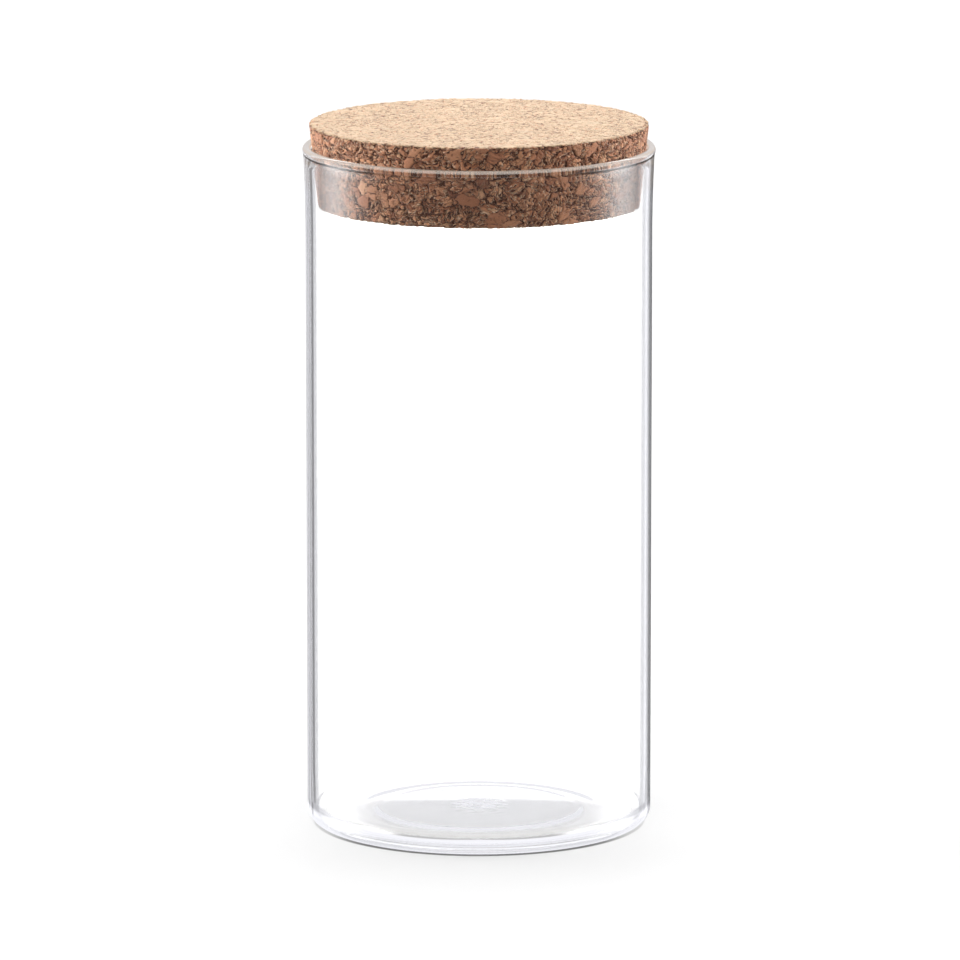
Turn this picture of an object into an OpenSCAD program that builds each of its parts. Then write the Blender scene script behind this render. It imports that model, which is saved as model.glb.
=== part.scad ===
// Glass storage jar with a tapered cork stopper.
// The jar is one blown piece of clear glass: a straight round wall on a rounded heel, a base that is
// pushed up in the middle, and a mouth that widens slightly up to a fire-polished rim.
// The stopper is one turned piece of pressed granule cork that wedges into the rim by its taper.
// Millimetres, Z up, with the origin in the middle of the underside, at table height.

/* [Jar body] */
// Outside diameter of the straight glass wall
body_d = 100; // [80:1:130]
// Height from the table to the top of the rim
jar_h = 199; // [120:1:260]
// Thickness of the glass wall
wall_t = 2.4; // [1.8:0.1:4]
// Outside radius of the heel, where the wall turns under
heel_r = 4.5; // [3:0.5:8]
// Inside radius where the wall turns into the floor
inner_heel_r = 4.5; // [3:0.5:8]

/* [Base] */
// Thickness of the glass floor
base_t = 3; // [2:0.1:5]
// Width of the flat ring that the jar stands on
foot_w = 6; // [4:0.5:12]
// Height that the middle of the base is pushed up
push_up = 1.5; // [0.5:0.1:3]

/* [Mouth] */
// Widening of the wall at the rim, on each side
flare = 0.85; // [0.4:0.05:1.2]
// Height over which the wall widens, up to the middle of the rim bead
flare_h = 26; // [20:1:40]
// Extra thickness of the rounded rim bead over the wall
rim_swell = 0.15; // [0.05:0.05:0.8]

/* [Stopper] */
// Overall height of the cork
stopper_h = 23.5; // [20:0.5:40]
// Depth of the cork inside the jar, from the top of the rim
plug_depth = 17; // [10:0.5:18]
// Taper of the cork's side, in degrees from upright
taper = 6.3; // [5.5:0.1:9]
// Width of the sanded edges at the top and bottom of the cork
edge_break = 0.5; // [0.2:0.1:1.2]
// Gap all round between the cork and the rim that it seats in
seat_gap = 0.15; // [0.1:0.05:0.3]

/* [Hidden] */
// Facets of the round shapes, and of the long shallow arcs
$fn = 180;
long_arc_fn = 1440;
// Overlap of two areas that become one, and of a cut past the face that it opens
eps = 0.01;

// Straight wall
body_r = body_d / 2;
bore_r = body_r - wall_t;
// Rim bead: its section's radius and where the middle of that section lies
rim_r = (wall_t + rim_swell) / 2;
rim_mid_r = body_r + flare - wall_t / 2;
rim_z = jar_h - rim_r;
// Start of the widening, and the radius of the arc that it follows
neck_z = rim_z - flare_h;
flare_arc_r = (flare_h * flare_h + flare * flare) / (2 * flare);
// Foot ring, and the sphere radius of the pushed-up underside and floor
foot_r = body_r - heel_r;
dome_r = foot_r - foot_w;
dome_arc_r = (dome_r * dome_r + push_up * push_up) / (2 * push_up);
// Stopper: its taper is tangent to the rim bead all round, one seat gap away
stopper_z = jar_h - plug_depth;
seat_r = rim_mid_r - (rim_r + seat_gap) / cos(taper);

// Radius of the cork's side at height z
function cork_r(z) = seat_r + (z - rim_z) * tan(taper);

// Half section filled out to radius r, with a rounded lower corner, a straight wall from z0 and the
// widening above the neck
module wall_area(r, z0, corner_r) {
    translate([0, z0]) square([r - corner_r, corner_r + eps]);
    translate([r - corner_r, z0 + corner_r]) circle(corner_r);
    translate([0, z0 + corner_r]) square([r, neck_z - z0 - corner_r]);
    difference() {
        translate([0, neck_z - eps]) square([r + flare, rim_z - neck_z + eps]);
        translate([r + flare_arc_r, neck_z]) circle(flare_arc_r, $fn = long_arc_fn);
    }
}

// Half section of the shallow dome that rises by push_up above height z
module dome_area(z) {
    intersection() {
        translate([0, z + push_up - dome_arc_r]) circle(dome_arc_r, $fn = long_arc_fn);
        translate([0, z - eps]) square([dome_r, push_up + 2 * eps]);
    }
}

// Half section of the hollow: the mouth is left open past the rim
module hollow_area() {
    difference() {
        wall_area(bore_r, base_t, inner_heel_r);
        dome_area(base_t);
    }
    translate([0, rim_z - eps]) square([bore_r + flare, rim_r + 2 * eps]);
}

// One-piece glass jar
module glass_jar() {
    color([0.86, 0.92, 0.9, 0.35])
    rotate_extrude() {
        difference() {
            wall_area(body_r, 0, heel_r);
            hollow_area();
            dome_area(0);
        }
        translate([rim_mid_r, rim_z]) circle(rim_r, $fn = 48);
    }
}

// One-piece tapered cork, sanded on both edges
module cork_stopper() {
    top_z = stopper_z + stopper_h;
    color([0.72, 0.53, 0.38])
    rotate_extrude()
    polygon([
        [0, stopper_z],
        [cork_r(stopper_z) - edge_break, stopper_z],
        [cork_r(stopper_z + edge_break), stopper_z + edge_break],
        [cork_r(top_z - edge_break), top_z - edge_break],
        [cork_r(top_z) - edge_break, top_z],
        [0, top_z]
    ]);
}

glass_jar();
cork_stopper();
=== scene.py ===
import math

import bpy
import numpy as np
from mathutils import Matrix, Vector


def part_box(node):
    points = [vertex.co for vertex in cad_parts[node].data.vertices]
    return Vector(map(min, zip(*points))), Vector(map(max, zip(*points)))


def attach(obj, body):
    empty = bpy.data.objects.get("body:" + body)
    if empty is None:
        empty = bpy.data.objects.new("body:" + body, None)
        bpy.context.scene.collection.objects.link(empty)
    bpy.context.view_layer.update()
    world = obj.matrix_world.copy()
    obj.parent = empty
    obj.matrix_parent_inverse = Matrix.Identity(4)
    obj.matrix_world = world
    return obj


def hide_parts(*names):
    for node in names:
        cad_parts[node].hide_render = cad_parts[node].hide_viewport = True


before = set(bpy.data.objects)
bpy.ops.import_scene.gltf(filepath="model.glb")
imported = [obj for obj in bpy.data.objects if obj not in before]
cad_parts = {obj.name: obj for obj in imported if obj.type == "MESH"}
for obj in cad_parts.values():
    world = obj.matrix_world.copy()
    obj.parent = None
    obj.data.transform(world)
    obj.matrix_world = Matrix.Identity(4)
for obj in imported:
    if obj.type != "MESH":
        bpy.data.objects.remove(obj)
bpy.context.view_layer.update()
scene = bpy.context.scene
scene.view_settings.view_transform = "Standard"


# Camera
# A long lens that looks slightly down on the jar, as in the photograph: its distance, height above
# the horizon and aim come from the ellipses of the rim, the cork and the base line.
CAMERA_DISTANCE = 2.6
CAMERA_ELEVATION = math.radians(10.79)
CAMERA_AIM = (0.0003, 0.0, 0.10068)
LENS_MM = 336.1
SENSOR_MM = 36.0
NEAREST_SEEN = 0.05
FARTHEST_SEEN = 40.0

camera_data = bpy.data.cameras.new("camera")
camera_data.sensor_width = SENSOR_MM
camera_data.lens = LENS_MM
camera_data.clip_start = NEAREST_SEEN
camera_data.clip_end = FARTHEST_SEEN
camera = bpy.data.objects.new("camera", camera_data)
camera.location = (
    CAMERA_AIM[0],
    CAMERA_AIM[1] - CAMERA_DISTANCE * math.cos(CAMERA_ELEVATION),
    CAMERA_AIM[2] + CAMERA_DISTANCE * math.sin(CAMERA_ELEVATION),
)
camera.rotation_euler = (math.pi / 2 - CAMERA_ELEVATION, 0.0, 0.0)
scene.collection.objects.link(camera)
scene.camera = camera


# Table
# One round white sheet, matt with a trace of polish. Seen straight it is white, with a painted contact
# shadow, a thin dark line where the jar's foot ring stands, and a painted soft shadow that runs out to
# the front. Seen through the glass it has a darker oval under the jar, also painted shadow, and what
# the glass mirrors is the room and not the table.
MM = 0.001
TABLE_RADIUS = 8.0
TABLE_CORNERS = 64
TABLE_GREY = (0.42, 0.42, 0.42)
TABLE_POLISH = 0.045             # part of the light that the table mirrors
TABLE_ROUGHNESS = 0.08           # and how rough that mirror is
TABLE_LIFT = 0.400               # light added to the table where the camera sees it straight
TABLE_LIFT_THROUGH = 1.50        # and where it is seen through clear glass
TABLE_LIFT_UNDER = 0.26          # right under the jar's raised middle, less: painted shadow under the jar
TABLE_LIFT_BESIDE = 0.34         # and around it, up to the foot ring
UNDER_TINT = (0.97, 0.98, 1.0)
BESIDE_TINT = (1.0, 0.985, 0.95)
UNDER_EDGE = (25 * MM, 33 * MM)  # radii between which the one turns into the other
# painted shadow seen through the glass: a darker oval under the jar
SHADOW_OVAL_STRETCH = (0.60, 1.0, 0.0)  # weights of x and y in the oval under the jar,
SHADOW_OVAL_SHIFT = (0.0, 21 * MM, 0.0)     # how far its middle lies to the front,
SHADOW_OVAL_EDGE = (34 * MM, 42 * MM)   # and where it ends
CONTACT_SHADOW_RADIUS = 47 * MM       # painted contact shadow: the dark line where the foot ring stands
CONTACT_SHADOW_WIDTH = (0.8 * MM, 1.7 * MM)
CONTACT_SHADOW_DARK = 0.22
CONTACT_SHADOW_FRONT = (-36 * MM, -16 * MM)   # depths between which it weakens towards the back
CONTACT_SHADOW_BACK = 0.4             # part of it that is left there
SHADE_STRETCH = (14.0, 11.0, 0.0)    # the same for the painted soft shadow around the jar
SHADE_SHIFT = (0.0, 0.28, 0.0)
SHADE_EDGE = (0.25, 1.20)
SHADE_DARK = 0.89
WHITE = (1.0, 1.0, 1.0)
ONCE = 0.5                       # a ray's count of bounces is over this when it has one or more,
TWICE = 1.5                      # two or more,
THREE_TIMES = 2.5                # or three or more


def wired(tree, kind, values=None, **settings):
    """One node of the given kind. Its settings are made first; then each input named or numbered in
    values is linked to a socket or set to a plain value. Returns the node's outputs."""
    node = tree.nodes.new(kind)
    for name, setting in settings.items():
        setattr(node, name, setting)
    for key, value in (values or {}).items():
        socket = node.inputs[key]
        if isinstance(value, bpy.types.NodeSocket):
            tree.links.new(value, socket)
        elif socket.type == "RGBA":
            socket.default_value = (*value, 1.0)
        else:
            socket.default_value = value
    return node.outputs


def number(tree, operation, *values):
    """One Math node: the operation on one or two values, each a socket or a number."""
    return wired(tree, "ShaderNodeMath", dict(enumerate(values)), operation=operation)[0]


def product(tree, first, *others):
    """The product of all the values."""
    for other in others:
        first = number(tree, "MULTIPLY", first, other)
    return first


def largest(tree, first, *others):
    """The largest of all the values."""
    for other in others:
        first = number(tree, "MAXIMUM", first, other)
    return first


def one_minus(tree, value):
    """One minus the value."""
    return number(tree, "SUBTRACT", 1.0, value)


def ramp(tree, value, low, high, to_low=0.0, to_high=1.0):
    """Smooth step of value from low to high, onto to_low to to_high."""
    values = {"Value": value, "From Min": low, "From Max": high, "To Min": to_low, "To Max": to_high}
    return wired(tree, "ShaderNodeMapRange", values, interpolation_type="SMOOTHSTEP")["Result"]


def blend(tree, part, a, b):
    """The number a where part is 0 and b where it is 1."""
    return wired(tree, "ShaderNodeMix", {"Factor": part, "A": a, "B": b}, data_type="FLOAT")["Result"]


def tint(tree, part, a, b, kind="MIX"):
    """The colour a where part is 0 and b where it is 1, or a times b where the kind is MULTIPLY."""
    values = {"Factor": part, "A": a, "B": b}
    return wired(tree, "ShaderNodeMix", values, data_type="RGBA", blend_type=kind)["Result"]


def vector(tree, operation, *values):
    """One Vector Math node: the operation on up to three vectors, each a socket or (x, y, z)."""
    return wired(tree, "ShaderNodeVectorMath", dict(enumerate(values)), operation=operation)["Vector"]


def scaled(tree, value, scale):
    """A vector times a number."""
    return wired(tree, "ShaderNodeVectorMath", {0: value, "Scale": scale}, operation="SCALE")["Vector"]


def length(tree, value):
    """Length of a vector."""
    return wired(tree, "ShaderNodeVectorMath", {0: value}, operation="LENGTH")["Value"]


def split(tree, value):
    """The X, Y and Z of a vector, or the three parts of a colour."""
    return wired(tree, "ShaderNodeSeparateXYZ", {0: value})


def layered(tree, part, under, over):
    """The shader under where part is 0 and over where it is 1."""
    return wired(tree, "ShaderNodeMixShader", {0: part, 1: under, 2: over})[0]


def ray_kinds(tree):
    """(straight, through, mirrored) by the kind of ray: seen straight; seen through clear glass and
    mirrored nowhere on the way; seen in a mirroring surface or by total reflection in the glass."""
    path = wired(tree, "ShaderNodeLightPath")
    sharp = product(tree, largest(tree, path["Is Transmission Ray"], path["Is Glossy Ray"]),
                    number(tree, "LESS_THAN", path["Diffuse Depth"], ONCE))
    mirrored = product(tree, sharp, number(tree, "GREATER_THAN", path["Glossy Depth"], ONCE))
    return path["Is Camera Ray"], number(tree, "SUBTRACT", sharp, mirrored), mirrored


def bare_material(name):
    """A material with an empty node tree."""
    material = bpy.data.materials.new(name)
    material.use_nodes = True
    material.node_tree.nodes.clear()
    return material


table_material = bare_material("white table")
tree = table_material.node_tree
straight, through, mirrored = ray_kinds(tree)
place = wired(tree, "ShaderNodeTexCoord")["Object"]
from_middle = length(tree, place)
# painted contact shadow: the dark line under the foot ring shows only where the camera sees it straight
from_line = number(tree, "ABSOLUTE", number(tree, "SUBTRACT", from_middle, CONTACT_SHADOW_RADIUS))
line_part = ramp(tree, split(tree, place)["Y"], *CONTACT_SHADOW_FRONT, 1.0, CONTACT_SHADOW_BACK)
contact_shadow = ramp(tree, from_line, *CONTACT_SHADOW_WIDTH, CONTACT_SHADOW_DARK, 1.0)
contact_shadow = blend(tree, product(tree, straight, line_part), 1.0, contact_shadow)
# painted soft shadow that runs out to the front, over the table's own cast shadows
reach = length(tree, vector(tree, "MULTIPLY_ADD", place, SHADE_STRETCH, SHADE_SHIFT))
painted_table_shade = product(tree, contact_shadow, ramp(tree, reach, *SHADE_EDGE, SHADE_DARK, 1.0))
# painted shadow: the oval under the jar is deepest under the raised middle of the base
shadow_oval_reach = length(tree, vector(tree, "MULTIPLY_ADD", place, SHADOW_OVAL_STRETCH, SHADOW_OVAL_SHIFT))
beside = ramp(tree, from_middle, *UNDER_EDGE)
seen_through = blend(tree, beside, TABLE_LIFT_UNDER, TABLE_LIFT_BESIDE)
seen_through = blend(tree, ramp(tree, shadow_oval_reach, *SHADOW_OVAL_EDGE), seen_through, TABLE_LIFT_THROUGH)
lift = number(tree, "ADD", product(tree, straight, TABLE_LIFT), product(tree, through, seen_through))
lift_colour = tint(tree, through, WHITE, tint(tree, beside, UNDER_TINT, BESIDE_TINT))
matt = wired(tree, "ShaderNodeBsdfDiffuse", {"Color": scaled(tree, TABLE_GREY, painted_table_shade)})[0]
lift = product(tree, lift, painted_table_shade)
lifted = wired(tree, "ShaderNodeEmission", {"Color": lift_colour, "Strength": lift})[0]
sheet = wired(tree, "ShaderNodeAddShader", {0: matt, 1: lifted})[0]
polish = wired(tree, "ShaderNodeBsdfGlossy", {"Roughness": TABLE_ROUGHNESS})[0]
sheet = layered(tree, product(tree, straight, TABLE_POLISH), sheet, polish)
unseen = wired(tree, "ShaderNodeBsdfTransparent")[0]
wired(tree, "ShaderNodeOutputMaterial", {"Surface": layered(tree, mirrored, sheet, unseen)})

# a regular polygon: each corner is TABLE_RADIUS times (cos, sin) of its angle
corner = np.linspace(0, 2 * np.pi, TABLE_CORNERS, endpoint=False)
table_points = TABLE_RADIUS * np.stack([np.cos(corner), np.sin(corner), np.zeros_like(corner)], 1)
table_mesh = bpy.data.meshes.new("table")
table_mesh.from_pydata(table_points.tolist(), [], [range(TABLE_CORNERS)])
table_mesh.materials.append(table_material)
table = bpy.data.objects.new("table", table_mesh)
scene.collection.objects.link(table)


# White surround
# A white room with a tall bright window on each side, slightly behind the jar, and a long lamp above
# the camera. It is plain white where it is seen straight or through the glass. The glass mirrors the
# windows and, right behind the jar, the bright and dark strips that draw the edges of clear glass.

# a TURN is an azimuth from straight behind the jar, and a RISE the sine of a height over the horizon
WINDOW_AZIMUTH = math.radians(75)
WINDOW_SPREAD = math.radians(26)
WINDOW_LIGHT = 7.6               # what a window gives to matt surfaces
LEFT_GAIN = 0.15                 # part by which the left window is brighter, and the right one darker
ROOM_LIGHT = 0.22
BACK_LIGHT = 0.5                 # light that comes from behind the jar
BACK_TURN = (0.7, 1.2)
WALL_RISE = (0.70, 0.90)         # where the walls and windows end
TOP_LIGHT = 0.35
TOP_RISE = (0.74, 0.84)
SEEN_THROUGH = 1.20              # brightness of the surround behind the glass
SEEN_ABOVE = 0.35                # and of the ceiling, where the rim bends the view up to it
SEEN_RISE = (0.15, 0.45)
MIRRORED_AZIMUTH = math.radians(71)
MIRRORED_SPREAD = math.radians(22)
WINDOW_MIRRORED = 2.6            # how bright a window shows in the glass
LEFT_GAIN_MIRRORED = 0.04
ROOM_MIRRORED = 0.05
SILL_RISE = (-0.30, -0.20)       # lower down, where the widened mouth mirrors them,
SILL_GAIN = 1.5                  # the windows are this much brighter
BEHIND_TURN = (0.70, 0.95)
BACK_MIRRORED = 0.85             # what lies behind the jar, as the wall mirrors it
BACK_MIRRORED_UP = 1.15          # and as the floor of the jar mirrors it
BACK_RISE = (0.05, 0.15)
LAMP_MIRRORED = 3.5              # the long lamp above the camera, as the rim bead mirrors it
LAMP_RISE = (0.35, 0.55)         # it starts at this height
LAMP_FRONT = (0.40, 0.60)        # and ends at this depth behind the jar
STRIP_RISE = (-0.13, -0.10)      # the strips start below this
STEEP_RISE = (-0.30, -0.23)      # and what is mirrored from still lower down is white
DEEP_MIRRORED = 0.94             # what is mirrored twice, or by the glass behind the front wall
GLASS_TINT = (0.975, 0.978, 1.03)
STRIP_SPAN = 60                  # degrees to each side that the strips reach
STRIP_FULL = 3.0                 # brightness that a full colour of the ramp stands for
STRIPS = [                       # (degrees to the right of straight behind, brightness)
    (-60, 1.0), (-31, 1.4), (-29, 0.0), (-26.5, 0.0), (-22, 1.9), (-18, 0.5), (-12, 1.8), (-7, 1.1),
    (-3, 0.5), (0, 0.3), (3, 0.0), (10, 0.1), (13, 0.7), (17, 0.1), (21, 0.8), (25, 2.4), (30, 1.4),
    (36, 1.9), (42, 1.3), (60, 1.1),
]


def tones(tree, value, stops):
    """A colour ramp through (place, colour) stops."""
    node = tree.nodes.new("ShaderNodeValToRGB")
    while len(node.color_ramp.elements) < len(stops):
        node.color_ramp.elements.new(0.5)
    for element, (at, colour) in zip(node.color_ramp.elements, stops):
        element.position = at
        element.color = (*colour, 1.0)
    tree.links.new(value, node.inputs[0])
    return node.outputs[0]


def room(tree, way, azimuth, window_azimuth, window_spread, window_light, left_gain, room_light):
    """The room, its two windows around the given azimuth and brightness, and the light overhead: a
    window's light falls off as exp(-x * x), x being the azimuth from its middle over its spread."""
    turn = number(tree, "ABSOLUTE", azimuth)
    rise = number(tree, "ABSOLUTE", way["Z"])
    side_gain = number(tree, "ADD", product(tree, number(tree, "SIGN", azimuth), -left_gain), 1.0)
    off = number(tree, "DIVIDE", number(tree, "SUBTRACT", turn, window_azimuth), window_spread)
    window = number(tree, "EXPONENT", product(tree, off, off, -1.0))
    window = product(tree, window, side_gain, window_light)
    walls = number(tree, "ADD", ramp(tree, turn, *BACK_TURN, BACK_LIGHT, 0.0), room_light)
    walls = product(tree, number(tree, "ADD", window, walls), ramp(tree, rise, *WALL_RISE, 1.0, 0.0))
    return number(tree, "ADD", walls, ramp(tree, rise, *TOP_RISE, 0.0, TOP_LIGHT))


def strips(tree, azimuth):
    """Brightness of the strips behind the jar at an azimuth, straight lines between the stops."""
    span = math.radians(STRIP_SPAN)
    values = {"Value": azimuth, "From Min": -span, "From Max": span}
    along = wired(tree, "ShaderNodeMapRange", values)["Result"]
    stops = [((at + STRIP_SPAN) / (2 * STRIP_SPAN), (light / STRIP_FULL,) * 3) for at, light in STRIPS]
    return product(tree, tones(tree, along, stops), STRIP_FULL)


world = bpy.data.worlds.new("white surround")
world.use_nodes = True
scene.world = world
tree = world.node_tree
tree.nodes.clear()
straight, through, mirrored = ray_kinds(tree)
way = split(tree, wired(tree, "ShaderNodeTexCoord")["Generated"])
azimuth = number(tree, "ARCTAN2", way["X"], way["Y"])
behind = ramp(tree, number(tree, "ABSOLUTE", azimuth), *BEHIND_TURN, 1.0, 0.0)
lamps = room(tree, way, azimuth, WINDOW_AZIMUTH, WINDOW_SPREAD, WINDOW_LIGHT, LEFT_GAIN, ROOM_LIGHT)
# what the glass mirrors: the room, then the back, the lamp, the strips and the white below them
in_glass = room(tree, way, azimuth, MIRRORED_AZIMUTH, MIRRORED_SPREAD, WINDOW_MIRRORED, LEFT_GAIN_MIRRORED,
                ROOM_MIRRORED)
in_glass = product(tree, in_glass, ramp(tree, way["Z"], *SILL_RISE, SILL_GAIN, 1.0))
in_glass = blend(tree, behind, in_glass, ramp(tree, way["Z"], *BACK_RISE, BACK_MIRRORED, BACK_MIRRORED_UP))
above_camera = product(tree, ramp(tree, way["Z"], *LAMP_RISE), ramp(tree, way["Y"], *LAMP_FRONT, 1.0, 0.0))
in_glass = blend(tree, above_camera, in_glass, LAMP_MIRRORED)
low = product(tree, behind, ramp(tree, way["Z"], *STRIP_RISE, 1.0, 0.0))
in_glass = blend(tree, low, in_glass, strips(tree, azimuth))
steep = product(tree, behind, ramp(tree, way["Z"], *STEEP_RISE, 1.0, 0.0))
in_glass = blend(tree, steep, in_glass, 1.0)
path = wired(tree, "ShaderNodeLightPath")
deep = largest(tree, number(tree, "GREATER_THAN", path["Glossy Depth"], TWICE),
               number(tree, "GREATER_THAN", path["Transmission Depth"], THREE_TIMES))
in_glass = blend(tree, deep, in_glass, DEEP_MIRRORED)
shown = blend(tree, mirrored, lamps, in_glass)
shown = blend(tree, through, shown, ramp(tree, way["Z"], *SEEN_RISE, SEEN_THROUGH, SEEN_ABOVE))
shown = blend(tree, straight, shown, 1.0)
tinted = number(tree, "ADD", through, product(tree, mirrored, behind))
surround_colour = tint(tree, tinted, WHITE, GLASS_TINT)
surround = wired(tree, "ShaderNodeBackground", {"Color": surround_colour, "Strength": shown})[0]
wired(tree, "ShaderNodeOutputWorld", {"Surface": surround})


# Glass jar
# One blown piece of clear borosilicate glass: an even wall with a fire-polished rim bead, a rounded
# heel and a base that was pushed up in the middle, with the faint rings and the seal mark of making.
jar_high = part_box("glass_jar")[1]
RIM_TOP = jar_high.z
RIM_R = jar_high.x
WALL_R = 50 * MM
WALL_T = 2.4 * MM
FLARE = 0.64 * MM                # widening of the mouth on each side,
FLARE_H = 26 * MM                # and the height over which it widens
BEAD_R = 1.27 * MM
BEAD_INSET = 1.30 * MM           # from the rim's outside to the middle of the bead
HEEL_R = 4.5 * MM
INNER_HEEL_R = 4.5 * MM
BASE_T = 3 * MM
FOOT_W = 6 * MM                  # width of the flat ring that the jar stands on
DOME_R = WALL_R - HEEL_R - FOOT_W
PUSH_UP = 1.5 * MM
FLOOR_DOME = 0.8                 # part of the push-up that the floor follows
FLOOR_RING_R = 34 * MM           # the faint rings of the floor
FLOOR_RING_SPREAD = 6 * MM
FLOOR_RING_WAVE = 1.1 * MM
FLOOR_RING_H = 0.05 * MM
FLOOR_STEP_R = 30 * MM           # the step inside them
FLOOR_STEP_SOFT = 0.3 * MM
FLOOR_STEP_H = 0.35 * MM
MARK_R = 6.5 * MM                # the seal mark in the middle
MARK_H = 0.30 * MM
UNEVEN_R = 35 * MM               # and the slow unevenness of the whole floor
UNEVEN_H = 0.04 * MM
TURN_STEPS = 360
FLOOR_ROWS = 96
UNDER_ROWS = 30
FOOT_ROWS = 5
WALL_ROWS = 16
ARC_ROWS = 14
BEAD_ROWS = 28
BEAD_ARC = (-30, 210)            # degrees of the bead's circle that stand clear of the wall


def arc(centre_r, centre_z, radius, start, end, steps=ARC_ROWS):
    """Points on a circle's section from start to end degrees: centre plus radius times (cos, sin)."""
    angle = np.radians(np.linspace(start, end, steps))
    return np.stack([centre_r + radius * np.cos(angle), centre_z + radius * np.sin(angle)], 1)


def straight_line(a, b, steps=WALL_ROWS):
    """Evenly spaced points from a to b, without either end."""
    t = np.linspace(0, 1, steps + 2)[1:-1, None]
    return np.array(a) * (1 - t) + np.array(b) * t


def dome_rise(r):
    """Height of the pushed-up base at radius r: PUSH_UP times one minus the square of r over DOME_R."""
    return PUSH_UP * np.clip(1 - (r / DOME_R) ** 2, 0, 1)


def floor_rise(r):
    """Height of the floor over BASE_T: part of the dome, plus a step down that is a logistic curve,
    plus rings that are a sine times a bell curve."""
    fade = np.exp(-((r - FLOOR_RING_R) / FLOOR_RING_SPREAD) ** 2)
    rings = FLOOR_RING_H * np.sin(r / FLOOR_RING_WAVE) * fade
    step = FLOOR_STEP_H / (1 + np.exp((r - FLOOR_STEP_R) / FLOOR_STEP_SOFT))
    return dome_rise(r) * FLOOR_DOME + rings + step


def seal_mark(x, y):
    """Height of the uneven mark in the middle of the floor: a flat-topped bump times two crossing sets
    of bent waves, plus the slow unevenness of the whole floor, two long crossing waves."""
    r = np.hypot(x, y)
    x, y = x / MM, y / MM
    waves = np.sin(x / 1.1 + 1.7 * np.sin(y / 2.1)) * np.cos(y / 1.6 + 1.3 * np.sin(x / 2.7))
    slow_waves = np.sin(x / 6.2 + 0.6) * np.sin(y / 7.1 + 1.1)
    mark = MARK_H * waves * np.exp(-(r / MARK_R) ** 4)
    return mark + UNEVEN_H * slow_waves * np.exp(-(r / UNEVEN_R) ** 6)


def jar_section():
    """The jar's half section as (r, z) points, from the middle of the underside out, up the wall,
    over the rim bead and down the inside to the middle of the floor."""
    bead_z = RIM_TOP - BEAD_R
    neck_z = bead_z - FLARE_H
    flare_r = (FLARE_H ** 2 + FLARE ** 2) / (2 * FLARE)
    flare_end = 180 - math.degrees(math.asin(FLARE_H / flare_r))
    bore_r = WALL_R - WALL_T
    floor_edge = bore_r - INNER_HEEL_R
    inner_heel_z = BASE_T + INNER_HEEL_R
    under_r = np.linspace(0, DOME_R, UNDER_ROWS)
    floor_r = np.linspace(floor_edge, 0, FLOOR_ROWS + 2)[1:]
    return np.concatenate([
        np.stack([under_r, dome_rise(under_r)], 1),
        straight_line((DOME_R, 0), (WALL_R - HEEL_R, 0), FOOT_ROWS),
        arc(WALL_R - HEEL_R, HEEL_R, HEEL_R, -90, 0),
        straight_line((WALL_R, HEEL_R), (WALL_R, neck_z)),
        arc(WALL_R + flare_r, neck_z, flare_r, 180, flare_end)[:-1],
        arc(RIM_R - BEAD_INSET, bead_z, BEAD_R, *BEAD_ARC, BEAD_ROWS),
        arc(bore_r + flare_r, neck_z, flare_r, flare_end, 180)[1:],
        straight_line((bore_r, neck_z), (bore_r, inner_heel_z)),
        arc(floor_edge, inner_heel_z, INNER_HEEL_R, 0, -90),
        np.stack([floor_r, BASE_T + floor_rise(floor_r)], 1),
    ])


def turned_jar(name, section, steps):
    """Turns a section about Z: point (r, z) goes to (r cos a, r sin a, z) for each of the steps
    angles a, and its last FLOOR_ROWS rows get the seal mark. The first and last points lie on the axis
    and become one vertex each."""
    angle = np.linspace(0, 2 * np.pi, steps, endpoint=False)
    ring = section[1:-1]
    rows = len(ring)
    x = ring[:, 0, None] * np.cos(angle)
    y = ring[:, 0, None] * np.sin(angle)
    on_floor = np.arange(rows) >= rows - FLOOR_ROWS
    z = ring[:, 1, None] + on_floor[:, None] * seal_mark(x, y)
    points = np.concatenate([[(0, 0, section[0, 1])], np.stack([x, y, z], 2).reshape(-1, 3),
                             [(0, 0, section[-1, 1])]])
    this = np.arange(steps)
    after = (this + 1) % steps
    row = 1 + np.arange(rows)[:, None] * steps
    low, high = row[:-1], row[1:]
    quads = np.stack([low + this, low + after, high + after, high + this], 2).reshape(-1, 4)
    fan_low = np.stack([np.zeros_like(this), row[0] + after, row[0] + this], 1)
    fan_high = np.stack([np.full_like(this, len(points) - 1), row[-1] + this, row[-1] + after], 1)
    mesh = bpy.data.meshes.new(name)
    mesh.from_pydata(points.tolist(), [], quads.tolist() + fan_low.tolist() + fan_high.tolist())
    mesh.shade_smooth()
    return mesh


jar_mesh = turned_jar("glass_jar_wall", jar_section(), TURN_STEPS)
jar = bpy.data.objects.new("blown_glass", jar_mesh)
scene.collection.objects.link(jar)


def below_rim(low, high):
    """Two heights that lie low and high millimetres below the top of the rim."""
    return RIM_TOP - low * MM, RIM_TOP - high * MM


GLASS_IOR = 1.47
RIM_ROUGHNESS = 0.04             # the fire-polished rim is a little less smooth than the wall
RIM_ROUGH_Z = below_rim(2.8, 2.2)
HEEL_TOP_Z = (HEEL_R + 0.5 * MM, HEEL_R + 2.5 * MM)  # the painted dark edges start here
BEAD_FOOT_Z = below_rim(2.0, 1.5)    # and are half as strong above here
EDGE_FACING = (0.46, 0.60)       # painted shade: the wall is darkened where it turns away this much,
PAINTED_EDGE_SHADE = 0.15
RIM_EDGE_FACING = (0.635, 0.680)     # and more at the very edge
PAINTED_RIM_EDGE_SHADE = 0.30
PAINTED_CREASE_SHADE = 0.85               # painted shade: the thin dark line in the crease under the bead
CREASE_LOW_Z = below_rim(2.6, 2.3)
CREASE_HIGH_Z = below_rim(1.9, 1.6)
CREASE_FACING = (0.10, 0.40)
CREASE_FRONT = 0.10              # the line's strength where the glass faces the eye
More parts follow.
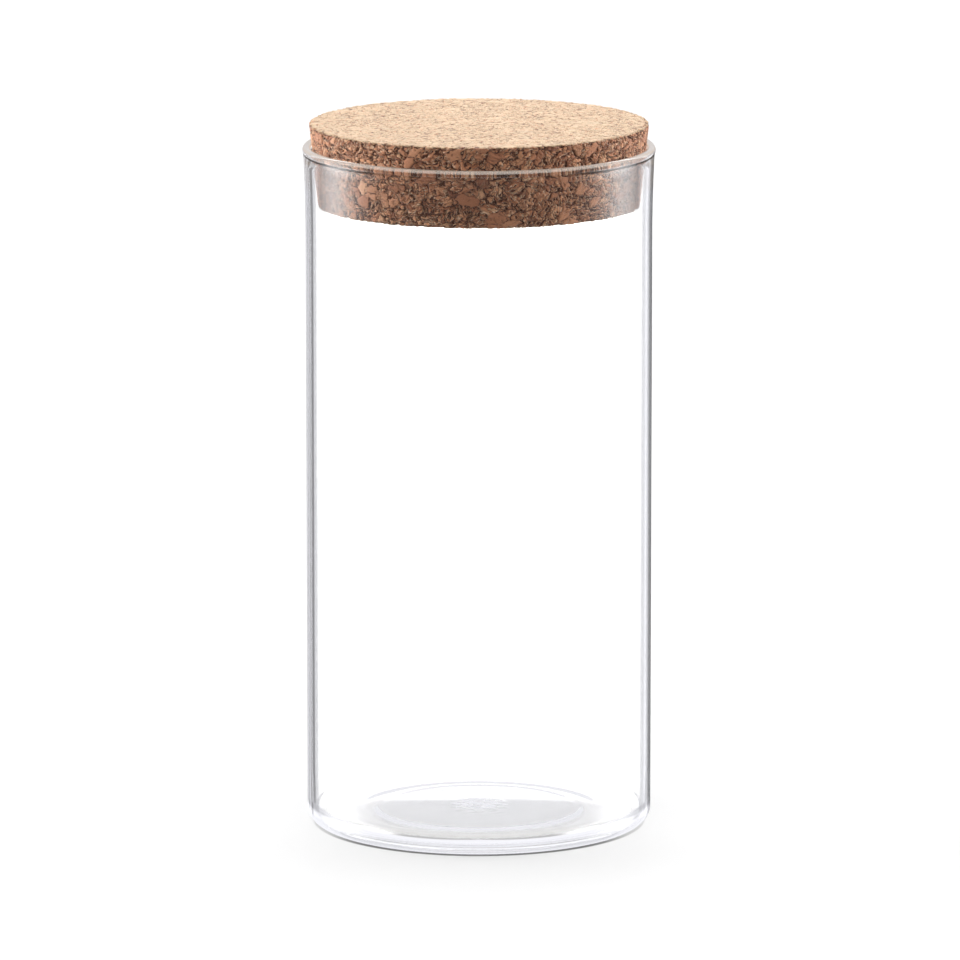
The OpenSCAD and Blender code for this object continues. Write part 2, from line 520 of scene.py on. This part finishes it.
SLANT_MIRROR = 0.58              # the neck seen at a slant mirrors the pale room
SLANT_COLOUR = (0.19, 0.19, 0.193)
SLANT_FACING = (0.28, 0.50)
SLANT_END = (0.58, 0.66)
NECK_Z = below_rim(17.0, 14.8)
EDGE_SHADOW = (0.35, 0.36, 0.37)     # what an edge lets through of the lamps' light,
EDGE_SHADOW_POWER = 4.0          # and the power of facing by which that grows
PAINTED_RIM_GLOW = 0.8                   # painted glow for light that runs up the wall and out at the rim
PAINTED_RIM_GLOW_COLOUR = (1.0, 0.85, 0.72)
PAINTED_RIM_GLOW_Z = below_rim(14, 9)
PAINTED_BEAD_GLOW = 0.36                 # the painted glow's part on the whole bead, a painted highlight
PAINTED_BEAD_GLOW_Z = below_rim(1.1, 0.5)

glass = bare_material("clear borosilicate")
tree = glass.node_tree
path = wired(tree, "ShaderNodeLightPath")
facing = wired(tree, "ShaderNodeLayerWeight")["Facing"]
height = split(tree, wired(tree, "ShaderNodeTexCoord")["Object"])["Z"]
look = wired(tree, "ShaderNodeBsdfPrincipled", {
    "Base Color": WHITE,
    "Roughness": ramp(tree, height, *RIM_ROUGH_Z, 0.0, RIM_ROUGHNESS),
    "IOR": GLASS_IOR,
    "Transmission Weight": 1.0,
})[0]
on_wall = product(tree, ramp(tree, height, *HEEL_TOP_Z), ramp(tree, height, *BEAD_FOOT_Z, 1.0, 0.5))
seen_wall = product(tree, on_wall, path["Is Camera Ray"])
# painted shade: the surface that turns away from the eye is darkened by mixing in black, as thick glass
# looks darker where it is seen edge on
painted_edge_shade = number(tree, "ADD", ramp(tree, facing, *EDGE_FACING, 0.0, PAINTED_EDGE_SHADE),
                   ramp(tree, facing, *RIM_EDGE_FACING, 0.0, PAINTED_RIM_EDGE_SHADE))
# painted shade in the crease under the bead, joined to the painted dark edges
crease = product(tree, ramp(tree, height, *CREASE_LOW_Z), ramp(tree, height, *CREASE_HIGH_Z, 1.0, 0.0),
                 ramp(tree, facing, *CREASE_FACING, CREASE_FRONT, PAINTED_CREASE_SHADE))
painted_edge_shade = product(tree, largest(tree, painted_edge_shade, crease), seen_wall)
painted_dark = wired(tree, "ShaderNodeBsdfTransparent", {"Color": (0.0, 0.0, 0.0)})[0]
look = layered(tree, painted_edge_shade, look, painted_dark)
# the neck seen at a slant mirrors the pale room and lets less through
slant = product(tree, ramp(tree, facing, *SLANT_FACING, 0.0, SLANT_MIRROR),
                ramp(tree, facing, *SLANT_END, 1.0, 0.0), ramp(tree, height, *NECK_Z), seen_wall)
pale_mirror = wired(tree, "ShaderNodeBsdfGlossy", {"Roughness": 0.0, "Color": SLANT_COLOUR})[0]
look = layered(tree, slant, look, pale_mirror)
# light on its way to the cork and the table goes straight through, less at the edges, and so does
# a ray that the glass has mirrored three times inside
lamp_ray = largest(tree, path["Is Shadow Ray"], path["Is Diffuse Ray"])
trapped = number(tree, "GREATER_THAN", path["Glossy Depth"], THREE_TIMES)
passing = tint(tree, number(tree, "POWER", facing, EDGE_SHADOW_POWER), WHITE, EDGE_SHADOW)
clear = wired(tree, "ShaderNodeBsdfTransparent", {"Color": passing})[0]
look = layered(tree, largest(tree, lamp_ray, trapped), look, clear)
# painted glow at the rim, standing in for light run up the wall, and a painted highlight on the bead
painted_rim_glow = product(tree, number(tree, "GREATER_THAN", path["Glossy Depth"], TWICE),
                 ramp(tree, height, *PAINTED_RIM_GLOW_Z), one_minus(tree, lamp_ray))
painted_bead_glow = product(tree, ramp(tree, height, *PAINTED_BEAD_GLOW_Z, 0.0, PAINTED_BEAD_GLOW), path["Is Camera Ray"])
painted_glow = wired(tree, "ShaderNodeEmission", {"Color": PAINTED_RIM_GLOW_COLOUR, "Strength": PAINTED_RIM_GLOW})[0]
look = layered(tree, largest(tree, painted_rim_glow, painted_bead_glow), look, painted_glow)
wired(tree, "ShaderNodeOutputMaterial", {"Surface": look})
jar_mesh.materials.append(glass)
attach(jar, "jar")
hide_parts("glass_jar")


# Cork stopper
# One tapered plug turned from a block of pressed cork granules bound with glue: chips of bark of
# many tones, with open crevices between them on the turned side and a sanded, paler top and bottom.
cork_low, cork_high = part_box("cork_stopper")
CORK_TOP_R = cork_high.x
CORK_HEIGHT = cork_high.z - cork_low.z
CORK_SLOPE = math.tan(math.radians(6.3))
CORK_EDGE = 0.5 * MM
EDGE_ROUNDING = (1.0, 0.3, 0.0)  # the rings that round it, in parts of its width
CORK_GRID = 112                  # cells across the top and bottom discs
CORK_ROWS = 62                   # rows down the side
DISC_INSET = 1 * MM              # from the sanded edge in to the rim of a disc
EDGE_SANDING = (0.75, 0.5, 0.25, 0.1)    # how far the rows next to a disc count as sanded
CREVICE_DEPTH = 0.50 * MM        # how deep the crevices of the side lie
CHIP_DEPTH = 0.12 * MM           # how much deeper one chip may lie than another
SPLINTER_DEPTH = 0.16 * MM       # and one splinter than another
TOP_CREVICE_DEPTH = 0.10 * MM
CRUMBLE_DEPTH = 0.90 * MM        # how deep the edges are crumbled


def disc_points(n):
    """A square grid of n by n cells bent into a unit disc: the point (u, v) goes to radius
    max(|u|, |v|), and its angle runs evenly along each side of the square."""
    s = np.linspace(-1, 1, n + 1)
    u, v = np.meshgrid(s, s, indexing="ij")
    wide = np.abs(u) >= np.abs(v)
    radius = np.where(wide, u, v)
    safe = np.where(radius == 0, 1, radius)
    angle = np.where(wide, np.pi / 4 * v / safe, np.pi / 2 - np.pi / 4 * u / safe)
    return radius * np.cos(angle), radius * np.sin(angle)


def side_profile():
    """(radius, height) of the rings down the side: the upper edge rounded over CORK_EDGE, then the
    tapered side, whose radius shrinks by CORK_SLOPE per height, then the lower edge."""
    side_h = CORK_HEIGHT - 2 * CORK_EDGE
    low_r = CORK_TOP_R - (CORK_HEIGHT - CORK_EDGE) * CORK_SLOPE
    t = np.linspace(0, 1, CORK_ROWS)[1:-1]
    bevel = np.array(EDGE_ROUNDING) * CORK_EDGE
    radius = np.concatenate([CORK_TOP_R - bevel, CORK_TOP_R - t * side_h * CORK_SLOPE, low_r - bevel[::-1]])
    height = np.concatenate([cork_high.z - bevel[::-1], cork_high.z - CORK_EDGE - t * side_h,
                             cork_low.z + bevel])
    return radius, height


def cork_mesh(name):
    """The plug as a closed grid: two discs joined by the rings of its side, with twice as many points
    on each ring as on a disc's rim. Each vertex also holds its turned place and how far it lies on a
    sanded face."""
    x, y = disc_points(CORK_GRID)
    index = np.arange(x.size).reshape(x.shape)
    loop = np.concatenate([index[-1, :-1], index[:0:-1, -1], index[0, :0:-1], index[:-1, 0]])
    turn = np.arctan2(y.ravel()[loop], x.ravel()[loop])
    half_step = np.angle(np.exp(1j * (np.roll(turn, -1) - turn))) / 2
    fine = np.stack([turn, turn + half_step], 1).ravel()
    ring_r, ring_z = side_profile()

    def disc(radius, height):
        """The disc's points at a radius and a height."""
        return np.stack([x * radius, y * radius, np.full_like(x, height)], 2).reshape(-1, 3)

    def rim_faces(inner, ring, outward):
        """Joins a disc's rim to the ring with twice its points: two triangles and one more per step."""
        after = np.roll(inner, -1)
        first, second, third = ring[0::2], ring[1::2], np.roll(ring, -2)[0::2]
        fans = np.concatenate([np.stack([inner, first, second], 1), np.stack([inner, second, after], 1),
                               np.stack([after, second, third], 1)])
        return fans if outward else fans[:, ::-1]

    top = disc(ring_r[0] - DISC_INSET, cork_high.z)
    bottom = disc(ring_r[-1] - DISC_INSET, cork_low.z)
    rings = np.stack([ring_r[:, None] * np.cos(fine), ring_r[:, None] * np.sin(fine),
                      np.repeat(ring_z[:, None], len(fine), 1)], 2).reshape(-1, 3)
    points = np.concatenate([top, bottom, rings])
    discs_end = len(top) + len(bottom)
    top_faces = np.stack([index[:-1, :-1], index[1:, :-1], index[1:, 1:], index[:-1, 1:]], 2)
    top_faces = top_faces.reshape(-1, 4)
    bottom_faces = top_faces[:, ::-1] + len(top)
    rows = discs_end + np.arange(len(rings)).reshape(len(ring_r), len(fine))
    up, down = rows[:-1], rows[1:]
    side_faces = np.stack([up, down, np.roll(down, -1, 1), np.roll(up, -1, 1)], 2).reshape(-1, 4)
    faces = np.concatenate([top_faces, bottom_faces, side_faces]).tolist()
    faces += rim_faces(loop, rows[0], True).tolist()
    faces += rim_faces(loop + len(top), rows[-1], False).tolist()
    mesh = bpy.data.meshes.new(name)
    mesh.from_pydata(points.tolist(), [], faces)
    sanded = np.zeros(len(points), np.float32)
    sanded[:discs_end] = 1.0
    for row, part in enumerate(EDGE_SANDING):
        sanded[rows[row]] = part
        sanded[rows[-1 - row]] = part
    mesh.attributes.new("sanded", "FLOAT", "POINT").data.foreach_set("value", sanded)
    turned_place = mesh.attributes.new("turned_place", "FLOAT_VECTOR", "POINT")
    turned_place.data.foreach_set("vector", points.astype(np.float32).ravel())
    mesh.shade_smooth()
    return mesh


MIDDLE_GREY = (0.5, 0.5, 0.5)
FLATNESS = (1.0, 1.0, 1.35)          # chips lie flatter than they are wide
CHIP_BEND = (0.30, 2.0, 0.6, 3.4)    # scale, detail, roughness and size of what bends the chips,
CHIP_RIPPLE = (1.1, 1.5, 0.55, 1.1)  # and of what ripples chips and splinters
CHIPS_PER_MM = 0.25
BUNDLED = (0.20, 0.28)               # random number from which a chip is a bundle of splinters
SPLINTER_STRETCH = (1.0, 0.28, 0.28)
SPLINTER_TURN = 6.283                # radians over which the bundles' own turns are spread,
SPLINTER_JUMP = 40.0                 # and mm over which their places in the finer pattern lie
SPLINTERS_PER_MM = 1.30
CHIP_GAP = (0.010, 0.050)            # distance from a chip's border at which its crevice ends
OPENING_NOISE = (0.50, 2.0)          # scale and detail of the slow noise that opens it
OPENING = (0.38, 0.54)
STROKE_NOISE = (2.00, 1.5)           # and of the noise of the crevices along the splinters
STROKES = (0.555, 0.615)
CRUMBLY_OVER = 0.62                  # random number over which a chip has more of them,
CRUMBLY_PART = 0.15                  # and by how much
WHOLE_CHIP_STROKES = 0.35            # part of them that a whole chip has
SEAM = (0.0, 0.04)                   # the faint seam along every chip's border
SEAM_DEPTH = 0.30
HAIR = (0.0, 0.12)                   # and along every splinter's
HAIR_DEPTH = 0.55
SANDED_STROKES = 0.45                # part of the crevices that stays open where the cork is sanded
SANDED_HAIR = 0.7
LIT_SLIVER_SHIFT = (0.22, 0.0, 0.0)      # from the crevices to the slivers beside them, painted pale as lit flake edges
LIT_SLIVERS = (0.550, 0.615)
CRUMB_NOISE = (0.70, 3.0, 0.6)
CRUMBS = (0.49, 0.58)


def noise(tree, at, scale, detail, rough=0.5, output="Fac"):
    """One 3-D noise of the given scale, detail and roughness at a place."""
    values = {"Vector": at, "Scale": scale, "Detail": detail, "Roughness": rough}
    return wired(tree, "ShaderNodeTexNoise", values, noise_dimensions="3D")[output]


def bent(tree, at, scale, detail, rough, size):
    """An offset of up to half the size each way, from a noise's colour."""
    colour = noise(tree, at, scale, detail, rough, "Color")
    return scaled(tree, vector(tree, "SUBTRACT", colour, MIDDLE_GREY), size)


def cells(tree, at, scale):
    """(three random numbers per cell, distance to the cell's border) of a Voronoi pattern."""
    values = {"Vector": at, "Scale": scale}
    near = wired(tree, "ShaderNodeTexVoronoi", values, voronoi_dimensions="3D", feature="F1")
    border = wired(tree, "ShaderNodeTexVoronoi", values, voronoi_dimensions="3D", feature="DISTANCE_TO_EDGE")
    return near["Color"], border["Distance"]


def granule_pattern(tree, place):
    """Adds the pressed-granule pattern to a shader tree or a geometry tree and returns its sockets.
    Chips are cells of a Voronoi pattern whose place is bent by noise. Some chips are whole; the others
    are bundles of splinters, cells of a finer pattern that is turned and stretched anew in each chip.
    Crevices are the chips' borders where a slow noise opens them, and the peaks of a noise stretched
    along the splinters; the peaks of a second one, shifted a little from the crevices, are pale sliver
    edges, partly the pale wood and partly a painted highlight where light would catch them. Scales are
    per millimetre."""
    at_mm = scaled(tree, place, 1 / MM)
    flat = vector(tree, "MULTIPLY", at_mm, FLATNESS)
    bend = bent(tree, at_mm, *CHIP_BEND)
    ripple = bent(tree, at_mm, *CHIP_RIPPLE)
    chip_place = vector(tree, "ADD", vector(tree, "ADD", flat, bend), ripple)
    chip_tone, chip_border = cells(tree, chip_place, CHIPS_PER_MM)
    chip = split(tree, chip_tone)
    # a chip's random numbers give its splinters their axis, their turn and their place
    turned = wired(tree, "ShaderNodeVectorRotate", {
        "Vector": vector(tree, "ADD", flat, ripple),
        "Axis": vector(tree, "SUBTRACT", chip_tone, MIDDLE_GREY),
        "Angle": product(tree, chip[2], SPLINTER_TURN),
    }, rotation_type="AXIS_ANGLE")[0]
    splinters = vector(tree, "MULTIPLY", turned, SPLINTER_STRETCH)
    splinters = vector(tree, "ADD", splinters, scaled(tree, chip_tone, SPLINTER_JUMP))
    splinter_tone, splinter_border = cells(tree, splinters, SPLINTERS_PER_MM)
    bundle = ramp(tree, chip[0], *BUNDLED)
    opened = ramp(tree, noise(tree, at_mm, *OPENING_NOISE), *OPENING)
    chip_gap = product(tree, one_minus(tree, ramp(tree, chip_border, *CHIP_GAP)), opened)
    crumbly = product(tree, number(tree, "SUBTRACT", chip[1], CRUMBLY_OVER), CRUMBLY_PART)
    strokes = ramp(tree, number(tree, "ADD", noise(tree, splinters, *STROKE_NOISE), crumbly), *STROKES)
    strokes = product(tree, strokes, largest(tree, bundle, WHOLE_CHIP_STROKES))
    seam = product(tree, one_minus(tree, ramp(tree, chip_border, *SEAM)), SEAM_DEPTH)
    hair = product(tree, one_minus(tree, ramp(tree, splinter_border, *HAIR)), bundle, HAIR_DEPTH)
    lit_slivers = noise(tree, vector(tree, "ADD", splinters, LIT_SLIVER_SHIFT), *STROKE_NOISE)
    return {
        "at_mm": at_mm,
        "chip": chip,
        "splinter": split(tree, splinter_tone),
        "bundle": bundle,
        "gap": largest(tree, chip_gap, strokes, seam, hair),
        "sanded_gap": largest(tree, chip_gap, product(tree, strokes, SANDED_STROKES), seam,
                              product(tree, hair, SANDED_HAIR)),
        "lit_slivers": product(tree, ramp(tree, lit_slivers, *LIT_SLIVERS), bundle, one_minus(tree, strokes)),
        "crumbled": ramp(tree, noise(tree, at_mm, *CRUMB_NOISE), *CRUMBS),
    }


def granule_relief():
    """A geometry tree that sinks each vertex along its normal by the crevices' depth, so that the
    crevices of the material are real hollows. Nothing is raised, so the plug keeps its size."""
    tree = bpy.data.node_groups.new("granule relief", "GeometryNodeTree")
    tree.interface.new_socket("Geometry", in_out="INPUT", socket_type="NodeSocketGeometry")
    tree.interface.new_socket("Geometry", in_out="OUTPUT", socket_type="NodeSocketGeometry")
    sanded = wired(tree, "GeometryNodeInputNamedAttribute", {"Name": "sanded"}, data_type="FLOAT")
    sanded = sanded["Attribute"]
    pattern = granule_pattern(tree, wired(tree, "GeometryNodeInputPosition")[0])
    side_depth = number(tree, "ADD", product(tree, pattern["gap"], CREVICE_DEPTH),
                        product(tree, pattern["chip"][1], CHIP_DEPTH))
    splinter_depth = product(tree, pattern["splinter"][1], pattern["bundle"], SPLINTER_DEPTH)
    side_depth = number(tree, "ADD", side_depth, splinter_depth)
    depth = blend(tree, sanded, side_depth, product(tree, pattern["gap"], TOP_CREVICE_DEPTH))
    # the edges, where the sanding is half done, are crumbled here and there
    half_done = number(tree, "SUBTRACT", product(tree, sanded, 2.0), 1.0)
    half_done = one_minus(tree, number(tree, "ABSOLUTE", half_done))
    depth = number(tree, "ADD", depth, product(tree, pattern["crumbled"], half_done, CRUMBLE_DEPTH))
    sink = scaled(tree, wired(tree, "GeometryNodeInputNormal")[0], product(tree, depth, -1.0))
    whole = wired(tree, "NodeGroupInput")[0]
    sunk = wired(tree, "GeometryNodeSetPosition", {"Geometry": whole, "Offset": sink})[0]
    wired(tree, "NodeGroupOutput", {0: sunk})
    return tree


cork = bpy.data.objects.new("pressed_cork_plug", cork_mesh("pressed_cork_plug"))
scene.collection.objects.link(cork)
cork.modifiers.new("granule relief", "NODES").node_group = granule_relief()
bpy.context.view_layer.update()
sunk_mesh = bpy.data.meshes.new_from_object(cork.evaluated_get(bpy.context.evaluated_depsgraph_get()))
cork.modifiers.clear()
cork.data = sunk_mesh

# a few dark bark chips, most of them middle brown with a red cast, a few pale slivers
CHIP_TONES = [
    (0.00, (0.23, 0.092, 0.056)),
    (0.12, (0.45, 0.186, 0.098)),
    (0.50, (0.55, 0.243, 0.130)),
    (0.85, (0.63, 0.300, 0.165)),
    (1.00, (0.74, 0.400, 0.235)),
]
SPLINTER_TONES = [
    (0.00, (0.19, 0.067, 0.038)),
    (0.15, (0.52, 0.204, 0.102)),
    (0.50, (0.74, 0.326, 0.170)),
    (0.88, (0.90, 0.450, 0.244)),
    (1.00, (0.95, 0.580, 0.340)),
]
GRAIN_TONES = [
    (0.30, (0.74, 0.70, 0.66)),
    (0.52, (0.96, 0.96, 0.96)),
    (0.72, (1.0, 1.0, 1.0)),
]
SPLINTER_PART = 0.55             # how much of a bundle's colour is its splinters'
# painted highlight: the pale colour of the slivers beside the crevices, partly pale wood, partly light on
# the flake edges
SLIVER_HIGHLIGHT_PART = 0.60
SLIVER_HIGHLIGHT = (0.98, 0.72, 0.50)
SANDED_PART = 0.80               # how much of a sanded face is the one sanded colour
SANDED_COLOUR = (0.590, 0.445, 0.272)
# painted shade: the turned side's crevices are painted nearly black, partly their own dark brown and partly
# shade in the hollows
CREVICE_SHADE_COLOUR = (0.085, 0.030, 0.015)
CREVICE_SHADE_PART = 0.90
SANDED_GAP_COLOUR = (0.17, 0.08, 0.04)
SANDED_GAP_PART = 0.48
SANDED_EDGE = (0.38, 0.58)       # part of sanding at which the side's look turns into the face's
SANDED_EDGE_NOISE = (0.9, 3.0, 0.6)  # scale, detail and roughness of how that edge wanders,
SANDED_EDGE_SIZE = 1.6               # how far it does,
SANDED_EDGE_CRUMBS = 0.50            # and how far the crumbs and crevices push it back
SANDED_EDGE_GAPS = 0.25
GRAIN_NOISE = (4.5, 3.0, 0.65)
GRAIN_SPREAD = (0.3, 0.7)            # the part of that noise over which the roughness changes
CORK_ROUGHNESS = (0.52, 0.72)
CORK_SPECULAR = 0.28
CORK_SHEEN = 0.16
CORK_SHEEN_ROUGHNESS = 0.45
BUMP_STRENGTH = 0.9
BUMP_HEIGHT = 0.5 * MM
GRAIN_RELIEF = 0.35
SPLINTER_RELIEF = 0.5
SANDED_RELIEF = 0.35                 # part of the relief that a sanded face has

cork_material = bare_material("pressed cork")
tree = cork_material.node_tree
pattern = granule_pattern(tree, wired(tree, "ShaderNodeAttribute", attribute_name="turned_place")["Vector"])
# the sanded faces end in an uneven line at the crumbled edges
sanding = wired(tree, "ShaderNodeAttribute", attribute_name="sanded")["Fac"]
uneven = number(tree, "SUBTRACT", noise(tree, pattern["at_mm"], *SANDED_EDGE_NOISE), 0.5)
uneven = product(tree, uneven, SANDED_EDGE_SIZE)
uneven = number(tree, "SUBTRACT", uneven, product(tree, pattern["crumbled"], SANDED_EDGE_CRUMBS))
sanded = number(tree, "ADD", sanding, uneven)
sanded = number(tree, "SUBTRACT", sanded, product(tree, pattern["gap"], SANDED_EDGE_GAPS))
sanded = ramp(tree, sanded, *SANDED_EDGE)
# the colour: chips, splinters and slivers with a painted highlight, the bark's fine grain, the sanded
# faces and the crevices
chip_colour = tones(tree, pattern["chip"][2], CHIP_TONES)
splinter_colour = tones(tree, pattern["splinter"][0], SPLINTER_TONES)
colour = tint(tree, product(tree, pattern["bundle"], SPLINTER_PART), chip_colour, splinter_colour)
colour = tint(tree, product(tree, pattern["lit_slivers"], SLIVER_HIGHLIGHT_PART), colour, SLIVER_HIGHLIGHT)
grain = noise(tree, pattern["at_mm"], *GRAIN_NOISE)
colour = tint(tree, 1.0, colour, tones(tree, grain, GRAIN_TONES), "MULTIPLY")
colour = tint(tree, sanded, colour, tint(tree, SANDED_PART, colour, SANDED_COLOUR))
# painted shade in the turned side's crevices; on the sanded faces they are darker flecks
gap_part = blend(tree, sanded, product(tree, pattern["gap"], CREVICE_SHADE_PART),
                 product(tree, pattern["sanded_gap"], SANDED_GAP_PART))
colour = tint(tree, gap_part, colour, tint(tree, sanded, CREVICE_SHADE_COLOUR, SANDED_GAP_COLOUR))
# the relief of the grain and the splinters, weaker on the sanded faces
relief = number(tree, "SUBTRACT", product(tree, grain, GRAIN_RELIEF), pattern["gap"])
splinter_relief = product(tree, pattern["splinter"][2], pattern["bundle"], SPLINTER_RELIEF)
relief = number(tree, "ADD", relief, splinter_relief)
relief = product(tree, relief, blend(tree, sanded, 1.0, SANDED_RELIEF))
surface = wired(tree, "ShaderNodeBsdfPrincipled", {
    "Base Color": colour,
    "Roughness": ramp(tree, grain, *GRAIN_SPREAD, *CORK_ROUGHNESS),
    "Specular IOR Level": CORK_SPECULAR,
    "Sheen Weight": CORK_SHEEN,
    "Sheen Roughness": CORK_SHEEN_ROUGHNESS,
    "Normal": wired(tree, "ShaderNodeBump", {
        "Strength": BUMP_STRENGTH,
        "Distance": BUMP_HEIGHT,
        "Height": relief,
    })["Normal"],
})[0]
wired(tree, "ShaderNodeOutputMaterial", {"Surface": surface})
cork.data.materials.clear()
cork.data.materials.append(cork_material)
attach(cork, "stopper")
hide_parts("cork_stopper")
